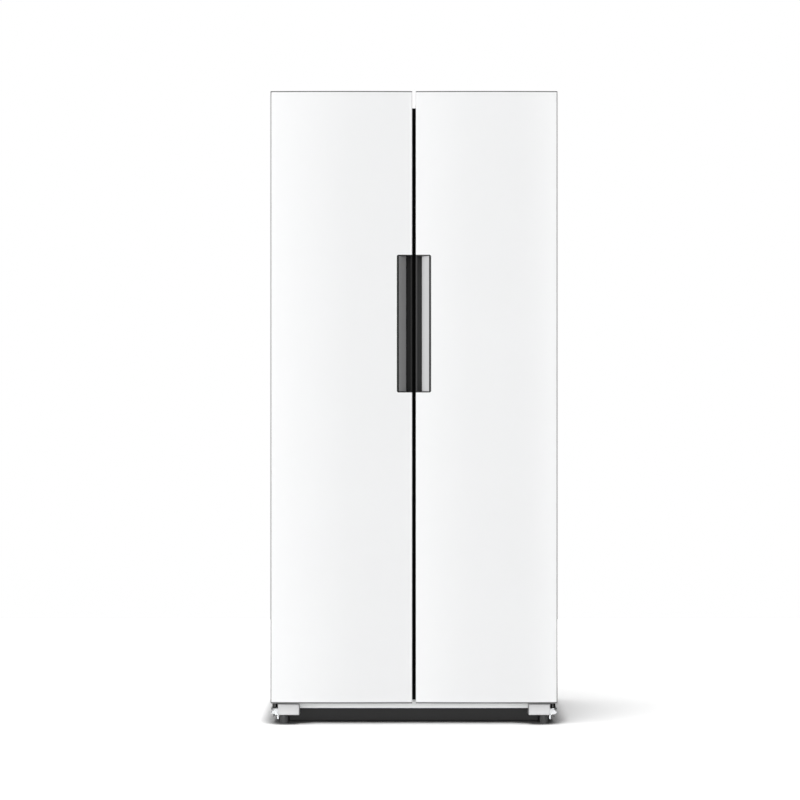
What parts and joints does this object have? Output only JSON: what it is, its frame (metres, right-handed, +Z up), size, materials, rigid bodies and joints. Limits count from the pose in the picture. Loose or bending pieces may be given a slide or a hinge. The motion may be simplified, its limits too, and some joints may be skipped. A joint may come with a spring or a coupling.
{
  "type": "side by side refrigerator",
  "caption": "Tall two-door refrigerator with full-height doors side by side, recessed grip pockets at the centre, drawers, shelves and door bins inside.",
  "frame": {"origin": "on the floor, in the middle of the footprint", "axes": "+Z up; the doors face -Y; +X to the right of someone facing the doors"},
  "size_m": [0.802, 0.69, 1.77],
  "materials": {
    "door_paint": "satin silver-white coil coating on steel sheet",
    "cabinet_paint": "light grey paint with a fine grain",
    "frame_paint": "light grey paint, satin",
    "base_paint": "dark painted steel",
    "galvanised_sheet": "galvanised sheet",
    "insulation_foam": null,
    "liner_plastic": "white thermoformed sheet",
    "black_plastic": "black moulded plastic, fine grain",
    "kick_plate_plastic": "dark moulded plastic",
    "cap_plastic": "mid grey moulded plastic",
    "cover_plastic": "light grey moulded plastic",
    "hinge_steel": "zinc-plated pressed steel",
    "zinc_steel": "zinc-plated",
    "grip_aluminium": "satin anodised",
    "gasket_rubber": "soft grey magnetic gasket",
    "compressor_paint": "black semi-gloss",
    "mount_rubber": "black rubber",
    "coil_aluminium": "plain mill finish",
    "fan_plastic": "natural white plastic",
    "milky_plastic": "milky translucent lens",
    "shelf_glass": "toughened clear glass",
    "trim_plastic": "white trim",
    "clear_plastic": "clear polystyrene",
    "foot_plastic": "dark grey nylon",
    "roller_plastic": "natural nylon"
  },
  "bodies": {
    "cabinet": {"side_panel_left": "cabinet_paint", "side_panel_right": "cabinet_paint", "top_panel": "cabinet_paint", "rear_panel": "galvanised_sheet", "base_frame": "base_paint", "foam_core": "insulation_foam", "freezer_liner": "liner_plastic", "fridge_liner": "liner_plastic", "front_frame": "frame_paint", "mullion_cover": "black_plastic", "kick_plate": "kick_plate_plastic", "lower_hinge_left": "hinge_steel", "lower_hinge_right": "hinge_steel", "lower_hinge_covers": "cover_plastic", "upper_hinge_left": "hinge_steel", "upper_hinge_right": "hinge_steel", "upper_hinge_covers": "cover_plastic", "door_closers": "black_plastic", "compressor": "compressor_paint", "compressor_mounts": "mount_rubber", "condenser": "coil_aluminium", "fan_bracket": "galvanised_sheet", "drip_tray": "black_plastic", "machine_cover": "galvanised_sheet", "mains_gland": "black_plastic", "evaporator": "coil_aluminium", "freezer_duct_cover": "liner_plastic", "fridge_air_duct": "liner_plastic", "light_covers": "milky_plastic", "freezer_shelves": "shelf_glass", "freezer_shelf_trims": "trim_plastic", "fridge_shelves": "shelf_glass", "fridge_shelf_trims": "trim_plastic", "cabinet_screws": "zinc_steel"},
    "freezer_door": {"freezer_door_skin": "door_paint", "freezer_door_caps": "cap_plastic", "freezer_door_edge": "black_plastic", "freezer_door_grip": "grip_aluminium", "freezer_door_foam": "insulation_foam", "freezer_door_liner": "liner_plastic", "freezer_door_gasket": "gasket_rubber", "freezer_door_bins": "clear_plastic"},
    "fridge_door": {"fridge_door_skin": "door_paint", "fridge_door_caps": "cap_plastic", "fridge_door_edge": "black_plastic", "fridge_door_grip": "grip_aluminium", "fridge_door_foam": "insulation_foam", "fridge_door_liner": "liner_plastic", "fridge_door_gasket": "gasket_rubber", "fridge_door_bins": "clear_plastic"},
    "levelling_foot_left": {"levelling_foot_left": "foot_plastic"},
    "levelling_foot_right": {"levelling_foot_right": "foot_plastic"},
    "rear_roller_left": {"rear_roller_left": "roller_plastic"},
    "rear_roller_right": {"rear_roller_right": "roller_plastic"},
    "condenser_fan": {"condenser_fan": "fan_plastic"},
    "evaporator_fan": {"evaporator_fan": "fan_plastic"},
    "freezer_drawer_lower": {"freezer_drawer_lower": "clear_plastic"},
    "freezer_drawer_upper": {"freezer_drawer_upper": "clear_plastic"},
    "crisper_drawer": {"crisper_drawer": "clear_plastic"},
    "chill_drawer": {"chill_drawer": "clear_plastic"}
  },
  "joints": [
    {"name": "freezer_door_hinge", "type": "hinge", "parent": "cabinet", "child": "freezer_door", "pos_m": [-0.389, -0.315, 0], "axis": [0, 0, -1], "range_deg": [0, 120]},
    {"name": "fridge_door_hinge", "type": "hinge", "parent": "cabinet", "child": "fridge_door", "pos_m": [0.389, -0.315, 0], "axis": [0, 0, 1], "range_deg": [0, 120]},
    {"name": "freezer_drawer_lower_slide", "type": "slide", "parent": "cabinet", "child": "freezer_drawer_lower", "axis": [0, -1, 0], "range_m": [0, 0.22]},
    {"name": "freezer_drawer_upper_slide", "type": "slide", "parent": "cabinet", "child": "freezer_drawer_upper", "axis": [0, -1, 0], "range_m": [0, 0.22]},
    {"name": "crisper_drawer_slide", "type": "slide", "parent": "cabinet", "child": "crisper_drawer", "axis": [0, -1, 0], "range_m": [0, 0.22]},
    {"name": "chill_drawer_slide", "type": "slide", "parent": "cabinet", "child": "chill_drawer", "axis": [0, -1, 0], "range_m": [0, 0.22]},
    {"name": "levelling_foot_left_turn", "type": "hinge", "parent": "cabinet", "child": "levelling_foot_left", "pos_m": [-0.365, -0.297, 0], "axis": [0, 0, 1], "continuous": true},
    {"name": "rear_roller_left_roll", "type": "hinge", "parent": "cabinet", "child": "rear_roller_left", "pos_m": [-0.34, 0.25, 0.0185], "axis": [1, 0, 0], "continuous": true},
    {"name": "levelling_foot_right_turn", "type": "hinge", "parent": "cabinet", "child": "levelling_foot_right", "pos_m": [0.365, -0.297, 0], "axis": [0, 0, 1], "continuous": true},
    {"name": "rear_roller_right_roll", "type": "hinge", "parent": "cabinet", "child": "rear_roller_right", "pos_m": [0.34, 0.25, 0.0185], "axis": [1, 0, 0], "continuous": true},
    {"name": "condenser_fan_spin", "type": "hinge", "parent": "cabinet", "child": "condenser_fan", "pos_m": [0.07, 0.2484, 0.138], "axis": [1, 0, 0], "continuous": true},
    {"name": "evaporator_fan_spin", "type": "hinge", "parent": "cabinet", "child": "evaporator_fan", "pos_m": [-0.1885, 0.232, 0.805], "axis": [0, 1, 0], "continuous": true}
  ],
  "couplings": [
    {"joint": "freezer_drawer_lower_slide", "follows": "freezer_door_hinge", "m_per_rad": 0.105},
    {"joint": "freezer_drawer_upper_slide", "follows": "freezer_door_hinge", "m_per_rad": 0.105},
    {"joint": "crisper_drawer_slide", "follows": "fridge_door_hinge", "m_per_rad": 0.105},
    {"joint": "chill_drawer_slide", "follows": "fridge_door_hinge", "m_per_rad": 0.105}
  ]
}
